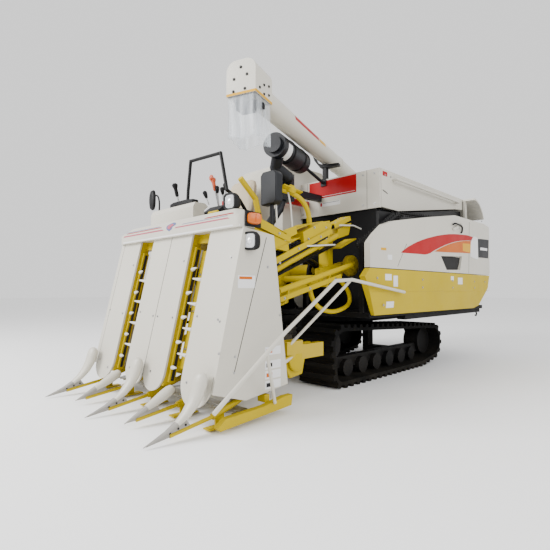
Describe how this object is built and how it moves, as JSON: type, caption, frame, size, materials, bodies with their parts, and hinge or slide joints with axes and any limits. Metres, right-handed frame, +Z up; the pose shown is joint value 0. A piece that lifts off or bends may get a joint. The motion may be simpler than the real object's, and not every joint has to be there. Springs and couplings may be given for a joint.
{
  "type": "head-feeding combine harvester",
  "caption": "Tracked head-feeding combine harvester with lifting header, divider horns, swinging unloading auger, threshing lid, side and rear doors and an open operator deck.",
  "frame": {"origin": "centre of the footprint, on the ground", "axes": "+Z up, the front faces -Y, the machine's left is +X"},
  "size_m": [2, 4.53, 2.255],
  "materials": {
    "cream_paint": "semi-gloss enamel",
    "yellow_paint": "semi-gloss enamel",
    "black_paint": "satin enamel",
    "frame_grey": "satin enamel, dusty",
    "red_paint": "gloss enamel",
    "track_rubber": "matt moulded rubber",
    "bright_steel": "machined",
    "dark_plastic": "fine texture",
    "clear_film": "soft translucent film",
    "seat_vinyl": "grained vinyl",
    "engine_iron": "painted casting"
  },
  "bodies": {
    "machine": {"left_track": "track_rubber", "right_track": "track_rubber", "left_track_frame": "frame_grey", "right_track_frame": "frame_grey", "chassis": "frame_grey", "gearbox": "engine_iron", "left_lower_cover": "yellow_paint", "right_lower_cover": "yellow_paint", "side_cover_post": "frame_grey", "threshing_housing": "frame_grey", "hood": "cream_paint", "feed_rail": "black_paint", "feed_chain": "black_paint", "grain_tank": "cream_paint", "upright_auger": "cream_paint", "auger_cradle": "dark_plastic", "straw_chopper": "frame_grey", "straw_hood": "cream_paint", "engine": "engine_iron", "engine_hood": "cream_paint", "operator_deck": "frame_grey", "front_console": "cream_paint", "lever_console": "dark_plastic", "levers": "dark_plastic", "seat_base": "black_paint", "seat": "seat_vinyl", "handrail": "black_paint", "mirror": "dark_plastic", "extinguisher": "red_paint", "air_cleaner": "dark_plastic"},
    "drum": {"threshing_drum": "bright_steel"},
    "lid": {"hood_lid": "cream_paint", "lid_rail": "cream_paint"},
    "left_door": {"side_cover": "cream_paint"},
    "slew": {"auger_elbow": "cream_paint"},
    "boom": {"auger_tube": "cream_paint", "auger_spout": "cream_paint", "spout_curtain": "clear_film"},
    "boom_ram_barrel": {"auger_ram_barrel": "black_paint"},
    "boom_ram_rod": {"auger_ram_rod": "bright_steel"},
    "rear_door": {"chopper_door": "cream_paint"},
    "screen_door": {"radiator_door": "dark_plastic"},
    "header": {"header_frame": "yellow_paint", "row_cases": "yellow_paint", "row_panels": "cream_paint", "side_panels": "cream_paint", "top_beam": "cream_paint", "divider_horns": "cream_paint", "divider_pipes": "yellow_paint", "cutter_bar": "bright_steel", "conveyors": "yellow_paint", "upper_cover": "yellow_paint", "guide_rod": "cream_paint", "work_lamps": "dark_plastic"},
    "star_1": {"star_wheel_1": "track_rubber"},
    "star_2": {"star_wheel_2": "track_rubber"},
    "star_3": {"star_wheel_3": "track_rubber"},
    "star_4": {"star_wheel_4": "track_rubber"},
    "lift_ram_barrel": {"header_ram_barrel": "black_paint"},
    "lift_ram_rod": {"header_ram_rod": "bright_steel"}
  },
  "joints": [
    {"name": "header_lift", "type": "hinge", "parent": "machine", "child": "header", "pos_m": [-0.025, -0.36, 0.95], "axis": [-1, 0, 0], "range_deg": [0, 16]},
    {"name": "lift_ram_turn", "type": "hinge", "parent": "machine", "child": "lift_ram_barrel", "pos_m": [-0.025, -0.55, 0.43], "axis": [-1, 0, 0], "range_deg": [0, 19.79]},
    {"name": "lift_ram_slide", "type": "slide", "parent": "lift_ram_barrel", "child": "lift_ram_rod", "axis": [0, -1, 0], "range_m": [0, 0.1536]},
    {"name": "auger_slew", "type": "hinge", "parent": "machine", "child": "slew", "pos_m": [-0.43, 1.64, 2.105], "axis": [0, 0, 1], "range_deg": [0, 110]},
    {"name": "auger_lift", "type": "hinge", "parent": "slew", "child": "boom", "pos_m": [-0.44283, 1.67789, 2.105], "axis": [-0.9471, -0.3208, 0], "range_deg": [0, 45]},
    {"name": "boom_ram_turn", "type": "hinge", "parent": "slew", "child": "boom_ram_barrel", "pos_m": [-0.3883, 1.51687, 1.645], "axis": [-0.9471, -0.3208, 0], "range_deg": [0, 11.16]},
    {"name": "boom_ram_slide", "type": "slide", "parent": "boom_ram_barrel", "child": "boom_ram_rod", "axis": [0.1284, -0.379, 0.9164], "range_m": [0, 0.2468]},
    {"name": "left_door_hinge", "type": "hinge", "parent": "machine", "child": "left_door", "pos_m": [0.883, -0.458, 1], "axis": [0, 0, -1], "range_deg": [0, 80]},
    {"name": "lid_hinge", "type": "hinge", "parent": "machine", "child": "lid", "pos_m": [0.33, 0, 1.862], "axis": [0, -1, 0], "range_deg": [0, 60]},
    {"name": "rear_door_hinge", "type": "hinge", "parent": "machine", "child": "rear_door", "pos_m": [-0.59, 2.219, 1.1], "axis": [0, 0, 1], "range_deg": [0, 100]},
    {"name": "screen_door_hinge", "type": "hinge", "parent": "machine", "child": "screen_door", "pos_m": [-0.909, -0.318, 0.9], "axis": [0, 0, -1], "range_deg": [0, 100]},
    {"name": "drum_spin", "type": "hinge", "parent": "machine", "child": "drum", "pos_m": [0.35, 0, 1.49], "axis": [0, 1, 0], "continuous": true},
    {"name": "star_1_spin", "type": "hinge", "parent": "header", "child": "star_1", "pos_m": [-0.3665, -1.70035, 0.262], "axis": [0, 0.4264, 0.9045], "continuous": true},
    {"name": "star_2_spin", "type": "hinge", "parent": "header", "child": "star_2", "pos_m": [-0.2185, -1.70035, 0.262], "axis": [0, 0.4264, 0.9045], "continuous": true},
    {"name": "star_3_spin", "type": "hinge", "parent": "header", "child": "star_3", "pos_m": [0.3285, -1.70035, 0.262], "axis": [0, 0.4264, 0.9045], "continuous": true},
    {"name": "star_4_spin", "type": "hinge", "parent": "header", "child": "star_4", "pos_m": [0.4765, -1.70035, 0.262], "axis": [0, 0.4264, 0.9045], "continuous": true}
  ],
  "couplings": [
    {"joint": "lift_ram_turn", "follows": "header_lift", "ratio": 1.2056},
    {"joint": "lift_ram_slide", "follows": "header_lift", "m_per_rad": 0.54294},
    {"joint": "boom_ram_turn", "follows": "auger_lift", "ratio": 0.23687},
    {"joint": "boom_ram_slide", "follows": "auger_lift", "m_per_rad": 0.31167}
  ]
}
